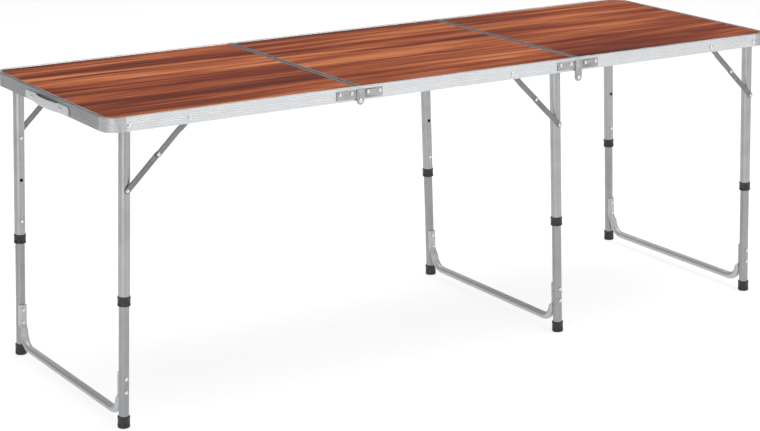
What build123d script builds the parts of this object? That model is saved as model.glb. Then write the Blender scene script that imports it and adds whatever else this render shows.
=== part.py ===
from build123d import *
import os

os.makedirs("parts", exist_ok=True)

# A folding table in three equal panels. Millimetres, +Z up, floor at z = 0, X along the table.
# The carrying handle stands out of the left end, and x = 0 is the middle of the whole outline.

# Driving dimensions
LENGTH = 1800.0
WIDTH = 600.0
HEIGHT = 675.0
RAIL_HEIGHT = 30.5
PANELS = 3

# Rails and boards
RAIL_WALL = 1.8
LIP_WIDTH = 8.5
LIP_THICKNESS = 1.0
LEDGE_THICKNESS = 1.5
BOARD_THICKNESS = 3.3
BOARD_RAISE = 0.6
BOARD_PLAY = 0.1
BOARD_EDGE_GAP = 0.3
GROOVE_DEPTH = 0.5
GROOVE_WIDTH = 2.0
GROOVE_COUNT = 6
CORNER_RADIUS = 35.0
CORNER_SPAN = 42.0
BUTT_GAP = 0.3
SEAM_GAP = 0.4

# Handle on the left end
HANDLE_PROJECTION = 14.0
HANDLE_SPAN = 224.0
HANDLE_HEIGHT = 20.0
HANDLE_THICKNESS = 3.0
HANDLE_PAD = 60.0
HANDLE_DROP = 20.0
HANDLE_PAD_GAP = 0.2
HANDLE_RIVET_SPACING = 150.0

# Leg frames
LEG_SURFACE = 11.5
END_LEG_INSET = 49.0
MIDDLE_LEG_OFFSET = 49.0
TUBE_TOP_DROP = 6.5
LEG_LEAN = 2.2
UPPER_DIAMETER = 25.0
TUBE_WALL = 1.2
COLLAR_WALL = 1.5
COLLAR_BOTTOM = 268.5
COLLAR_HEIGHT = 21.0
COLLAR_LIP = 4.0
FOOT_WALL = 2.5
FOOT_HEIGHT = 25.0
FOOT_SOLE = 5.0
BUTTON_HEIGHT = 322.0
HOLE_SPACING = 97.0
BUTTON_HOLE = 8.0
LOWER_TUBE_TOP = 356.0

# Cross-bar between a pair of lower tubes
BAR_DIAMETER = 18.0
BAR_HEIGHT = 25.0
BAR_BEND = 36.0
BAR_END_TOP = 121.5
BAR_RIVET_HEIGHTS = (80.0, 109.5)
SADDLE_THICKNESS = 3.2
SADDLE_BOTTOM = 76.0

# Folding braces, outside each leg
BRACE_ARM = 138.0
LINK_WIDTH = 13.0
LINK_THICKNESS = 2.0
UPPER_LINK_DEPTH = 2.4
JOGGLE_DEPTH = 5.2
JOGGLE_START = 24.0
JOGGLE_LENGTH = 12.0
LOWER_LINK_DEPTH = 7.7

# Snap clips inside the lower tubes
BUTTON_DIAMETER = 7.6
BUTTON_STAND = 2.0
CLIP_STRIP = 0.8
CLIP_WIDTH = 8.0
CLIP_ARM = 8.0
CLIP_TOP = 334.0
CLIP_KNEE = 308.0
CLIP_BEND = 280.0

# Leaf hinges on the outside of the side rails
PLATE_THICKNESS = 2.0
PLATE_GAP = 0.2
PLATE_REACH = 58.5
PLATE_TOP_DROP = 6.0
PLATE_HEIGHT = 20.0
TONGUE_HALF_WIDTH = 9.5
ARM_HALF_WIDTH = 8.5
TONGUE_GAP = 0.3
HINGE_RIVETS = (21.0, 51.0)
HINGE_RIVET_DROP = 13.0
HINGE_PIN_DIAMETER = 6.0

# Rivets and fits
RIVET_SHANK = 6.0
SMALL_SHANK = 4.0
RIVET_HEAD = 10.0
SMALL_HEAD = 8.0
HEAD_HEIGHT = 1.6
SHOULDER = 12.0
RUNNING_FIT = 0.05
CURVED_GAP = 0.3

# Worked out from the above
CENTRE_X = HANDLE_PROJECTION / 2
HALF_WIDTH = WIDTH / 2
PANEL = LENGTH / PANELS
LEFT_END = CENTRE_X - LENGTH / 2
RIGHT_END = CENTRE_X + LENGTH / 2
LEFT_SEAM = LEFT_END + PANEL
RIGHT_SEAM = LEFT_SEAM + PANEL
RAIL_BOTTOM = HEIGHT - RAIL_HEIGHT
LEDGE_TOP_DROP = LIP_THICKNESS + BOARD_THICKNESS + 2 * BOARD_PLAY
LOWER_DIAMETER = UPPER_DIAMETER - 2 * TUBE_WALL - 2 * CURVED_GAP
COLLAR_DIAMETER = UPPER_DIAMETER + 2 * COLLAR_WALL
FOOT_DIAMETER = LOWER_DIAMETER + 2 * FOOT_WALL
BUTTON_TIP = UPPER_DIAMETER / 2 + BUTTON_STAND
LEG_INSET = LEG_SURFACE + UPPER_DIAMETER / 2
PIVOT_DROP = TUBE_TOP_DROP + UPPER_DIAMETER / 2
LEG_Y = HALF_WIDTH - LEG_INSET
PIVOT_Z = HEIGHT - PIVOT_DROP
BRACE_PIN_HEIGHT = PIVOT_Z - BRACE_ARM
LEG_FRAMES = {
    "left": (LEFT_END + END_LEG_INSET, 1),
    "middle": (RIGHT_SEAM - MIDDLE_LEG_OFFSET, -1),
    "right": (RIGHT_END - END_LEG_INSET, -1),
}
HINGE_PINS = {
    "left": (LEFT_SEAM, RAIL_BOTTOM),
    "right": (RIGHT_SEAM, RAIL_BOTTOM - RAIL_HEIGHT / 2),
}


def depth(inward):
    """Upright plane at a depth inside the front face; extruding goes out towards the front."""
    return Plane.XZ.offset(HALF_WIDTH - inward)


def rail_section(plane):
    """Cross-section of every rail: ribbed wall, top lip and the ledge that carries the board."""
    with BuildSketch(plane) as section:
        with Locations((RAIL_WALL / 2, -RAIL_HEIGHT / 2)):
            Rectangle(RAIL_WALL, RAIL_HEIGHT)
        with Locations((LIP_WIDTH / 2, -LIP_THICKNESS / 2)):
            Rectangle(LIP_WIDTH, LIP_THICKNESS)
        with Locations((LIP_WIDTH / 2, -LEDGE_TOP_DROP - LEDGE_THICKNESS / 2)):
            Rectangle(LIP_WIDTH, LEDGE_THICKNESS)
        with Locations((0, -RAIL_HEIGHT / 2)):
            with GridLocations(1, RAIL_HEIGHT / GROOVE_COUNT, 1, GROOVE_COUNT):
                Rectangle(2 * GROOVE_DEPTH, GROOVE_WIDTH, mode=Mode.SUBTRACT)
    return section.sketch


def cross_plane(x, inward, half_length):
    """Plane of a rail that runs across the table, its outer face at x and its inside to inward."""
    return Plane(origin=(x, inward * half_length, HEIGHT), x_dir=(inward, 0, 0), z_dir=(0, -inward, 0))


# Boards: thin laminate, held between the lip and the ledge all round, its middle raised inside the lip
BOARD_Z = HEIGHT - LIP_THICKNESS - BOARD_PLAY - BOARD_THICKNESS
BOARD_MARGIN = RAIL_WALL + BOARD_EDGE_GAP
RAISED_MARGIN = LIP_WIDTH + BOARD_EDGE_GAP
BOARD_LAYERS = ((BOARD_MARGIN, BOARD_THICKNESS), (RAISED_MARGIN, BOARD_THICKNESS + BOARD_RAISE))
PANEL_ENDS = {
    "left": (LEFT_END, LEFT_SEAM - SEAM_GAP / 2),
    "centre": (LEFT_SEAM + SEAM_GAP / 2, RIGHT_SEAM - SEAM_GAP / 2),
    "right": (RIGHT_SEAM + SEAM_GAP / 2, RIGHT_END),
}
ROUND_END = {"left": Axis.X, "right": -Axis.X}
for panel, (start, end) in PANEL_ENDS.items():
    with BuildPart() as board:
        for margin, thickness in BOARD_LAYERS:
            with BuildSketch(Plane.XY.offset(BOARD_Z)) as outline:
                with Locations(((start + end) / 2, 0)):
                    Rectangle(end - start - 2 * margin, WIDTH - 2 * margin)
                if panel in ROUND_END:
                    rounded = outline.vertices().group_by(ROUND_END[panel])[0]
                    fillet(rounded, radius=CORNER_RADIUS - margin)
            extrude(amount=thickness)
    board.part.label = f"{panel}_board"
    export_step(board.part, f"parts/{panel}_board.step")

# Side rails: one along the front and one along the back of each panel, drilled for the pivots
RAIL_ENDS = {
    "left": (LEFT_END + CORNER_SPAN + BUTT_GAP / 2, LEFT_SEAM - SEAM_GAP / 2),
    "centre": PANEL_ENDS["centre"],
    "right": (RIGHT_SEAM + SEAM_GAP / 2, RIGHT_END - CORNER_SPAN - BUTT_GAP / 2),
}
FRAME_OF_PANEL = {"left": "left", "centre": "middle", "right": "right"}
PIVOT_POINTS = {}
HINGE_RIVET_POINTS = {"left": [], "centre": [], "right": []}
for offset in HINGE_RIVETS:
    HINGE_RIVET_POINTS["left"].append((LEFT_SEAM - offset, HEIGHT - HINGE_RIVET_DROP))
    HINGE_RIVET_POINTS["centre"].append((LEFT_SEAM + offset, HEIGHT - HINGE_RIVET_DROP))
    HINGE_RIVET_POINTS["centre"].append((RIGHT_SEAM - offset, HEIGHT - HINGE_RIVET_DROP))
    HINGE_RIVET_POINTS["right"].append((RIGHT_SEAM + offset, HEIGHT - HINGE_RIVET_DROP))
for panel, (start, end) in RAIL_ENDS.items():
    leg_x, fold = LEG_FRAMES[FRAME_OF_PANEL[panel]]
    PIVOT_POINTS[panel] = [(leg_x, PIVOT_Z), (leg_x + fold * BRACE_ARM, PIVOT_Z)]
    with BuildPart() as side_rails:
        start_plane = Plane(origin=(start, -HALF_WIDTH, HEIGHT), x_dir=(0, 1, 0), z_dir=(1, 0, 0))
        extrude(rail_section(start_plane), amount=end - start)
        with BuildSketch(depth(LIP_WIDTH)):
            with Locations(*PIVOT_POINTS[panel]):
                Circle(RIVET_SHANK / 2 + RUNNING_FIT)
            with Locations(*HINGE_RIVET_POINTS[panel]):
                Circle(SMALL_SHANK / 2 + RUNNING_FIT)
        extrude(amount=LIP_WIDTH, mode=Mode.SUBTRACT)
        mirror(about=Plane.XZ)
    side_rails.part.label = f"{panel}_side_rails"
    export_step(side_rails.part, f"parts/{panel}_side_rails.step")

# Handle rivet places, used by the end rail, the handle and its rivets
HANDLE_Z = HEIGHT - HANDLE_DROP
HANDLE_PAD_Y = (HANDLE_SPAN - HANDLE_PAD) / 2
HANDLE_RIVET_Y = HANDLE_RIVET_SPACING / 2
HANDLE_RIVETS = [(HANDLE_RIVET_Y, HANDLE_Z), (-HANDLE_RIVET_Y, HANDLE_Z)]

# End rails, between the rounded corners
END_RAIL_HALF = HALF_WIDTH - CORNER_SPAN - BUTT_GAP / 2
for end, end_x, inward in (("left", LEFT_END, 1), ("right", RIGHT_END, -1)):
    with BuildPart() as end_rail:
        extrude(rail_section(cross_plane(end_x, inward, END_RAIL_HALF)), amount=2 * END_RAIL_HALF)
        if end == "left":
            with BuildSketch(Plane.YZ.offset(LEFT_END)):
                with Locations(*HANDLE_RIVETS):
                    Circle(SMALL_SHANK / 2 + RUNNING_FIT)
            extrude(amount=RAIL_WALL, mode=Mode.SUBTRACT)
    end_rail.part.label = f"{end}_end_rail"
    export_step(end_rail.part, f"parts/{end}_end_rail.step")

# Rounded corner pieces, with the same section carried round a quarter turn
for end, end_x, inward in (("left", LEFT_END, 1), ("right", RIGHT_END, -1)):
    straight = CORNER_SPAN - CORNER_RADIUS - BUTT_GAP / 2
    bend_x = end_x + inward * CORNER_RADIUS
    bend_y = -HALF_WIDTH + CORNER_RADIUS
    with BuildPart() as corners:
        with BuildLine() as route:
            Line((bend_x + inward * straight, -HALF_WIDTH, HEIGHT), (bend_x, -HALF_WIDTH, HEIGHT))
            TangentArc((bend_x, -HALF_WIDTH, HEIGHT), (end_x, bend_y, HEIGHT), tangent=(-inward, 0, 0))
            Line((end_x, bend_y, HEIGHT), (end_x, bend_y + straight, HEIGHT))
        route_start = (bend_x + inward * straight, -HALF_WIDTH, HEIGHT)
        sweep(rail_section(Plane(origin=route_start, x_dir=(0, 1, 0), z_dir=(1, 0, 0))), path=route.wire())
        mirror(about=Plane.XZ)
    corners.part.label = f"{end}_corners"
    export_step(corners.part, f"parts/{end}_corners.step")

# Seam rails, which close each panel where it meets the next
SEAM_RAIL_HALF = HALF_WIDTH - LIP_WIDTH - BUTT_GAP / 2
SEAM_RAILS = {
    "left": [(LEFT_SEAM - SEAM_GAP / 2, -1)],
    "centre": [(LEFT_SEAM + SEAM_GAP / 2, 1), (RIGHT_SEAM - SEAM_GAP / 2, -1)],
    "right": [(RIGHT_SEAM + SEAM_GAP / 2, 1)],
}
for panel, rails in SEAM_RAILS.items():
    with BuildPart() as seam_rails:
        for rail_x, inward in rails:
            extrude(rail_section(cross_plane(rail_x, inward, SEAM_RAIL_HALF)), amount=2 * SEAM_RAIL_HALF)
    seam_rails.part.label = f"{panel}_seam_rails"
    export_step(seam_rails.part, f"parts/{panel}_seam_rails.step")

# Handle: a flat strap, bowed out between its two riveted pads
BOW_HALF = HANDLE_SPAN / 2 - HANDLE_PAD
PAD_X = LEFT_END - HANDLE_PAD_GAP
BOW_X = LEFT_END - HANDLE_PROJECTION
with BuildPart() as handle:
    with BuildSketch(Plane.XY.offset(HANDLE_Z - HANDLE_HEIGHT / 2)):
        with BuildLine():
            inner = ThreePointArc(
                (PAD_X, -BOW_HALF), (BOW_X + HANDLE_THICKNESS, 0), (PAD_X, BOW_HALF)
            )
            outer = ThreePointArc(
                (PAD_X - HANDLE_THICKNESS, -BOW_HALF), (BOW_X, 0), (PAD_X - HANDLE_THICKNESS, BOW_HALF)
            )
            Line(inner @ 0, outer @ 0)
            Line(inner @ 1, outer @ 1)
        make_face()
        with Locations(
            (PAD_X - HANDLE_THICKNESS / 2, HANDLE_PAD_Y), (PAD_X - HANDLE_THICKNESS / 2, -HANDLE_PAD_Y)
        ):
            Rectangle(HANDLE_THICKNESS, HANDLE_PAD)
    extrude(amount=HANDLE_HEIGHT)
    with BuildSketch(Plane.YZ.offset(PAD_X - HANDLE_THICKNESS)):
        with Locations(*HANDLE_RIVETS):
            Circle(SMALL_SHANK / 2 + RUNNING_FIT)
    extrude(amount=HANDLE_THICKNESS, mode=Mode.SUBTRACT)
handle.part.label = "handle"
export_step(handle.part, "parts/handle.step")

# Handle rivets
with BuildPart() as handle_rivets:
    with BuildSketch(Plane.YZ.offset(PAD_X - HANDLE_THICKNESS - HEAD_HEIGHT)):
        with Locations(*HANDLE_RIVETS):
            Circle(SMALL_HEAD / 2)
    extrude(amount=HEAD_HEIGHT)
    with BuildSketch(Plane.YZ.offset(PAD_X - HANDLE_THICKNESS)):
        with Locations(*HANDLE_RIVETS):
            Circle(SMALL_SHANK / 2)
    extrude(amount=HANDLE_THICKNESS + HANDLE_PAD_GAP + RAIL_WALL)
handle_rivets.part.label = "handle_rivets"
export_step(handle_rivets.part, "parts/handle_rivets.step")

# Leaf hinges: a plate with an arm down to the pin, and a plate whose joggled tongue covers that arm.
# The left pin lies at the rails' lower edge. The right one is half a rail lower, so that its panel
# can close over the other two.
PLATE_Z = HEIGHT - PLATE_TOP_DROP - PLATE_HEIGHT / 2
PLATE_IN = -PLATE_GAP
PLATE_OUT = -PLATE_GAP - PLATE_THICKNESS
TONGUE_IN = PLATE_OUT - TONGUE_GAP
TONGUE_OUT = TONGUE_IN - PLATE_THICKNESS
for seam, (pin_x, pin_z) in HINGE_PINS.items():
    tongue_top = HEIGHT - PLATE_TOP_DROP
    with BuildPart() as arm_plates:
        with BuildSketch(depth(PLATE_IN)):
            plate_start = pin_x - PLATE_REACH
            plate_end = pin_x + ARM_HALF_WIDTH
            with Locations(((plate_start + plate_end) / 2, PLATE_Z)):
                Rectangle(plate_end - plate_start, PLATE_HEIGHT)
            with Locations((pin_x, (PLATE_Z + pin_z) / 2)):
                Rectangle(2 * ARM_HALF_WIDTH, PLATE_Z - pin_z)
            with Locations((pin_x, pin_z)):
                Circle(ARM_HALF_WIDTH)
                Circle(HINGE_PIN_DIAMETER / 2 + RUNNING_FIT, mode=Mode.SUBTRACT)
            with Locations(*[(pin_x - offset, HEIGHT - HINGE_RIVET_DROP) for offset in HINGE_RIVETS]):
                Circle(SMALL_SHANK / 2 + RUNNING_FIT, mode=Mode.SUBTRACT)
        extrude(amount=PLATE_THICKNESS)
        mirror(about=Plane.XZ)
    arm_plates.part.label = f"{seam}_hinge_arm_plates"
    export_step(arm_plates.part, f"parts/{seam}_hinge_arm_plates.step")

    with BuildPart() as tongue_plates:
        with BuildSketch(depth(PLATE_IN)):
            plate_start = pin_x + TONGUE_HALF_WIDTH
            plate_end = pin_x + PLATE_REACH
            with Locations(((plate_start + plate_end) / 2, PLATE_Z)):
                Rectangle(plate_end - plate_start, PLATE_HEIGHT)
            with Locations(*[(pin_x + offset, HEIGHT - HINGE_RIVET_DROP) for offset in HINGE_RIVETS]):
                Circle(SMALL_SHANK / 2 + RUNNING_FIT, mode=Mode.SUBTRACT)
        extrude(amount=PLATE_THICKNESS)
        with BuildSketch(depth(PLATE_OUT)):
            with Locations((pin_x + TONGUE_HALF_WIDTH + PLATE_THICKNESS / 2, PLATE_Z)):
                Rectangle(PLATE_THICKNESS, PLATE_HEIGHT)
        extrude(amount=PLATE_THICKNESS + TONGUE_GAP)
        with BuildSketch(depth(TONGUE_IN)):
            with Locations((pin_x, (tongue_top + pin_z) / 2)):
                Rectangle(2 * TONGUE_HALF_WIDTH, tongue_top - pin_z)
            with Locations((pin_x, pin_z)):
                Circle(TONGUE_HALF_WIDTH)
            with Locations((pin_x, pin_z)):
                Circle(HINGE_PIN_DIAMETER / 2 + RUNNING_FIT, mode=Mode.SUBTRACT)
        extrude(amount=PLATE_THICKNESS)
        mirror(about=Plane.XZ)
    tongue_plates.part.label = f"{seam}_hinge_tongue_plates"
    export_step(tongue_plates.part, f"parts/{seam}_hinge_tongue_plates.step")

    with BuildPart() as hinge_pins:
        with BuildSketch(depth(PLATE_IN)):
            with Locations((pin_x, pin_z)):
                Circle(HINGE_PIN_DIAMETER / 2)
        extrude(amount=PLATE_IN - TONGUE_OUT)
        with BuildSketch(depth(TONGUE_OUT)):
            with Locations((pin_x, pin_z)):
                Circle(RIVET_HEAD / 2)
        extrude(amount=HEAD_HEIGHT)
        mirror(about=Plane.XZ)
    hinge_pins.part.label = f"{seam}_hinge_pins"
    export_step(hinge_pins.part, f"parts/{seam}_hinge_pins.step")

# Rivets in each panel's rails: leg pivots with a long shoulder, brace pivots and hinge-plate rivets
for panel, ((leg_x, pivot_z), (brace_x, brace_z)) in PIVOT_POINTS.items():
    under_plate = panel == "centre"
    leg_rivet_out = 0.0 if under_plate else -HEAD_HEIGHT
    leg_inner = LEG_INSET + UPPER_DIAMETER / 2 + CURVED_GAP
    with BuildPart() as rivets:
        with BuildSketch(depth(leg_inner)):
            with Locations((leg_x, pivot_z)):
                Circle(RIVET_SHANK / 2)
        extrude(amount=leg_inner - leg_rivet_out)
        with BuildSketch(depth(leg_inner + HEAD_HEIGHT)):
            with Locations((leg_x, pivot_z)):
                Circle(RIVET_HEAD / 2)
        extrude(amount=HEAD_HEIGHT)
        with BuildSketch(depth(LEG_SURFACE - CURVED_GAP)):
            with Locations((leg_x, pivot_z)):
                Circle(SHOULDER / 2)
        extrude(amount=LEG_SURFACE - CURVED_GAP - RAIL_WALL)
        if not under_plate:
            with BuildSketch(depth(0)):
                with Locations((leg_x, pivot_z)):
                    Circle(RIVET_HEAD / 2)
            extrude(amount=HEAD_HEIGHT)
        with BuildSketch(depth(UPPER_LINK_DEPTH + LINK_THICKNESS + HEAD_HEIGHT)):
            with Locations((brace_x, brace_z)):
                Circle(RIVET_HEAD / 2)
        extrude(amount=HEAD_HEIGHT - CURVED_GAP)
        with BuildSketch(depth(UPPER_LINK_DEPTH + LINK_THICKNESS + HEAD_HEIGHT)):
            with Locations((brace_x, brace_z)):
                Circle(RIVET_SHANK / 2)
        extrude(amount=UPPER_LINK_DEPTH + LINK_THICKNESS + 2 * HEAD_HEIGHT)
        with BuildSketch(depth(0)):
            with Locations((brace_x, brace_z)):
                Circle(RIVET_HEAD / 2)
        extrude(amount=HEAD_HEIGHT)
        with BuildSketch(depth(RAIL_WALL)):
            with Locations(*HINGE_RIVET_POINTS[panel]):
                Circle(SMALL_SHANK / 2)
        extrude(amount=RAIL_WALL - PLATE_OUT)
        with BuildSketch(depth(PLATE_OUT)):
            with Locations(*HINGE_RIVET_POINTS[panel]):
                Circle(SMALL_HEAD / 2)
        extrude(amount=HEAD_HEIGHT)
        mirror(about=Plane.XZ)
    rivets.part.label = f"{panel}_rivets"
    export_step(rivets.part, f"parts/{panel}_rivets.step")

# Leg frames: each has a front and a back leg that telescope, joined near the floor by a cross-bar.
# An open frame leans away from its braces, so heights in these sketches are measured along the leg.
BAR_ARM_Y = LEG_Y - LOWER_DIAMETER / 2 - CURVED_GAP - BAR_DIAMETER / 2
SADDLE_IN = LOWER_DIAMETER / 2 + CURVED_GAP
SADDLE_OUT = SADDLE_IN + SADDLE_THICKNESS
SADDLE_REACH = 2 * SADDLE_OUT
for frame, (leg_x, fold) in LEG_FRAMES.items():
    leg_up = Vector(0, 0, 1).rotate(Axis.Y, fold * LEG_LEAN)
    leg_across = Vector(1, 0, 0).rotate(Axis.Y, fold * LEG_LEAN)
    leg_pivot = Vector(leg_x, 0, PIVOT_Z)
    leg_base = leg_pivot - leg_up * PIVOT_Z
    leg_middle = Plane(origin=leg_base, x_dir=leg_across, z_dir=(0, -1, 0))
    leg_side = leg_middle.offset(LEG_Y)
    leg_axis = Plane(origin=leg_side.origin, x_dir=leg_across, z_dir=leg_up)
    rail_pin = leg_pivot + Vector(fold * BRACE_ARM, 0, 0)
    leg_pin = leg_pivot - leg_up * BRACE_ARM
    upper_bottom = COLLAR_BOTTOM + COLLAR_LIP

    with BuildPart() as upper_tubes:
        with BuildSketch(leg_axis.offset(upper_bottom)):
            Circle(UPPER_DIAMETER / 2)
            Circle(UPPER_DIAMETER / 2 - TUBE_WALL, mode=Mode.SUBTRACT)
        extrude(amount=PIVOT_Z + UPPER_DIAMETER / 2 - upper_bottom)
        with BuildSketch(leg_side):
            with Locations((0, PIVOT_Z + UPPER_DIAMETER / 2)):
                Rectangle(UPPER_DIAMETER, UPPER_DIAMETER)
            with Locations((0, PIVOT_Z)):
                Circle(UPPER_DIAMETER / 2, mode=Mode.SUBTRACT)
        extrude(amount=UPPER_DIAMETER, both=True, mode=Mode.SUBTRACT)
        with BuildSketch(leg_side):
            with Locations((0, PIVOT_Z)):
                Circle(RIVET_SHANK / 2 + RUNNING_FIT)
            with Locations((0, BRACE_PIN_HEIGHT)):
                Circle(SMALL_SHANK / 2 + RUNNING_FIT)
        extrude(amount=UPPER_DIAMETER, both=True, mode=Mode.SUBTRACT)
        with BuildSketch(leg_side):
            with Locations((0, BUTTON_HEIGHT), (0, BUTTON_HEIGHT + HOLE_SPACING)):
                Circle(BUTTON_HOLE / 2)
        extrude(amount=-UPPER_DIAMETER, mode=Mode.SUBTRACT)
        mirror(about=Plane.XZ)
    upper_tubes.part.label = f"{frame}_leg_upper_tubes"
    export_step(upper_tubes.part, f"parts/{frame}_leg_upper_tubes.step")

    with BuildPart() as collars:
        with BuildSketch(leg_axis.offset(COLLAR_BOTTOM)):
            Circle(COLLAR_DIAMETER / 2)
            Circle(LOWER_DIAMETER / 2 + CURVED_GAP, mode=Mode.SUBTRACT)
        extrude(amount=COLLAR_LIP)
        with BuildSketch(leg_axis.offset(upper_bottom)):
            Circle(COLLAR_DIAMETER / 2)
            Circle(UPPER_DIAMETER / 2 + RUNNING_FIT, mode=Mode.SUBTRACT)
        extrude(amount=COLLAR_HEIGHT - COLLAR_LIP)
        chamfer(collars.edges().group_by(Axis.Z)[-1].sort_by(SortBy.LENGTH)[-1], length=0.8)
        mirror(about=Plane.XZ)
    collars.part.label = f"{frame}_leg_collars"
    export_step(collars.part, f"parts/{frame}_leg_collars.step")

    with BuildPart() as lower_tubes:
        with BuildSketch(leg_axis.offset(FOOT_SOLE)):
            Circle(LOWER_DIAMETER / 2)
            Circle(LOWER_DIAMETER / 2 - TUBE_WALL, mode=Mode.SUBTRACT)
        extrude(amount=LOWER_TUBE_TOP - FOOT_SOLE)
        with BuildSketch(leg_side):
            with Locations((0, BUTTON_HEIGHT)):
                Circle(BUTTON_HOLE / 2)
        extrude(amount=-UPPER_DIAMETER, mode=Mode.SUBTRACT)
        with BuildSketch(leg_side):
            with Locations(*[(0, rivet_z) for rivet_z in BAR_RIVET_HEIGHTS]):
                Circle(SMALL_SHANK / 2 + RUNNING_FIT)
        extrude(amount=UPPER_DIAMETER, both=True, mode=Mode.SUBTRACT)
        mirror(about=Plane.XZ)
    lower_tubes.part.label = f"{frame}_leg_lower_tubes"
    export_step(lower_tubes.part, f"parts/{frame}_leg_lower_tubes.step")

    with BuildPart() as feet:
        with BuildSketch(leg_axis.offset(-FOOT_SOLE)):
            Circle(FOOT_DIAMETER / 2)
        extrude(amount=FOOT_SOLE + FOOT_HEIGHT)
        chamfer(feet.edges().group_by(Axis.Z)[-1], length=1.0)
        split(bisect_by=Plane.XY, keep=Keep.TOP)
        chamfer(feet.edges().group_by(Axis.Z)[0], length=1.5)
        with BuildSketch(leg_axis.offset(FOOT_SOLE)):
            Circle(LOWER_DIAMETER / 2 + RUNNING_FIT)
        extrude(amount=FOOT_HEIGHT, mode=Mode.SUBTRACT)
        mirror(about=Plane.XZ)
    feet.part.label = f"{frame}_leg_feet"
    export_step(feet.part, f"parts/{frame}_leg_feet.step")

    with BuildPart() as crossbar:
        with BuildLine(Plane(origin=leg_base, x_dir=(0, 1, 0), z_dir=leg_across)) as bar_route:
            Line((0, BAR_HEIGHT), (-BAR_ARM_Y + BAR_BEND, BAR_HEIGHT))
            JernArc((-BAR_ARM_Y + BAR_BEND, BAR_HEIGHT), (-1, 0), BAR_BEND, -90)
        with BuildSketch(leg_middle):
            with Locations((0, BAR_HEIGHT)):
                Circle(BAR_DIAMETER / 2)
        sweep(path=bar_route.wire())
        with BuildSketch(leg_axis.offset(BAR_HEIGHT + BAR_BEND)):
            with Locations((0, LEG_Y - BAR_ARM_Y)):
                Circle(BAR_DIAMETER / 2)
        with BuildSketch(leg_axis.offset(SADDLE_BOTTOM)):
            with Locations((0, (SADDLE_IN + SADDLE_OUT) / 2)):
                Rectangle(LOWER_DIAMETER, SADDLE_THICKNESS)
        loft()
        with BuildSketch(leg_axis.offset(SADDLE_BOTTOM)):
            Circle(SADDLE_OUT)
            Circle(SADDLE_IN, mode=Mode.SUBTRACT)
            with BuildLine():
                Polyline((0, 0), (-SADDLE_REACH, SADDLE_REACH), (SADDLE_REACH, SADDLE_REACH), close=True)
            make_face(mode=Mode.INTERSECT)
        extrude(amount=BAR_END_TOP - SADDLE_BOTTOM)
        with BuildSketch(leg_side):
            with Locations(*[(0, rivet_z) for rivet_z in BAR_RIVET_HEIGHTS]):
                Circle(SMALL_SHANK / 2 + RUNNING_FIT)
        extrude(amount=-UPPER_DIAMETER, mode=Mode.SUBTRACT)
        mirror(about=Plane.XZ)
    crossbar.part.label = f"{frame}_leg_crossbar"
    export_step(crossbar.part, f"parts/{frame}_leg_crossbar.step")

    with BuildPart() as bar_rivets:
        with BuildSketch(leg_side.offset(LOWER_DIAMETER / 2 + CURVED_GAP)):
            with Locations(*[(0, rivet_z) for rivet_z in BAR_RIVET_HEIGHTS]):
                Circle(SMALL_SHANK / 2)
        extrude(amount=-LOWER_DIAMETER - 2 * CURVED_GAP - SADDLE_THICKNESS)
        with BuildSketch(leg_side.offset(LOWER_DIAMETER / 2 + CURVED_GAP)):
            with Locations(*[(0, rivet_z) for rivet_z in BAR_RIVET_HEIGHTS]):
                Circle(SMALL_HEAD / 2)
        extrude(amount=HEAD_HEIGHT)
        with BuildSketch(leg_side.offset(-SADDLE_OUT)):
            with Locations(*[(0, rivet_z) for rivet_z in BAR_RIVET_HEIGHTS]):
                Circle(SMALL_HEAD / 2)
        extrude(amount=-HEAD_HEIGHT)
        mirror(about=Plane.XZ)
    bar_rivets.part.label = f"{frame}_leg_bar_rivets"
    export_step(bar_rivets.part, f"parts/{frame}_leg_bar_rivets.step")

    joint = (rail_pin + leg_pin) / 2
    link_pitch = (joint - rail_pin).length
    down_link = (leg_pin - rail_pin).normalized()
    link_slope = Vector(1, 0, 0).get_signed_angle(down_link, Vector(0, -1, 0))

    with BuildPart() as upper_links:
        link_far = link_pitch + LINK_WIDTH / 2
        link_near = -LINK_WIDTH / 2
        link_base = UPPER_LINK_DEPTH + LINK_THICKNESS
        link_step = JOGGLE_DEPTH + LINK_THICKNESS
        joggle_end = JOGGLE_START + JOGGLE_LENGTH
        link_top = (rail_pin.X, -HALF_WIDTH, rail_pin.Z)
        link_edge = Plane(origin=link_top, x_dir=down_link, z_dir=down_link.cross(Vector(0, 1, 0)))
        with BuildSketch(link_edge):
            with BuildLine():
                Polyline(
                    (link_near, UPPER_LINK_DEPTH),
                    (JOGGLE_START, UPPER_LINK_DEPTH),
                    (joggle_end, JOGGLE_DEPTH),
                    (link_far, JOGGLE_DEPTH),
                    (link_far, link_step),
                    (joggle_end, link_step),
                    (JOGGLE_START, link_base),
                    (link_near, link_base),
                    close=True,
                )
            make_face()
        extrude(amount=LINK_WIDTH / 2, both=True)
        with BuildSketch(depth(0)):
            with Locations(((rail_pin.X + joint.X) / 2, (rail_pin.Z + joint.Z) / 2)):
                SlotCenterToCenter(link_pitch, LINK_WIDTH, rotation=link_slope)
        extrude(amount=-LEG_INSET, mode=Mode.INTERSECT)
        with BuildSketch(depth(0)):
            with Locations((rail_pin.X, rail_pin.Z)):
                Circle(RIVET_SHANK / 2 + RUNNING_FIT)
            with Locations((joint.X, joint.Z)):
                Circle(SMALL_SHANK / 2 + RUNNING_FIT)
        extrude(amount=-LEG_INSET, mode=Mode.SUBTRACT)
        mirror(about=Plane.XZ)
    upper_links.part.label = f"{frame}_brace_upper_links"
    export_step(upper_links.part, f"parts/{frame}_brace_upper_links.step")

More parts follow.
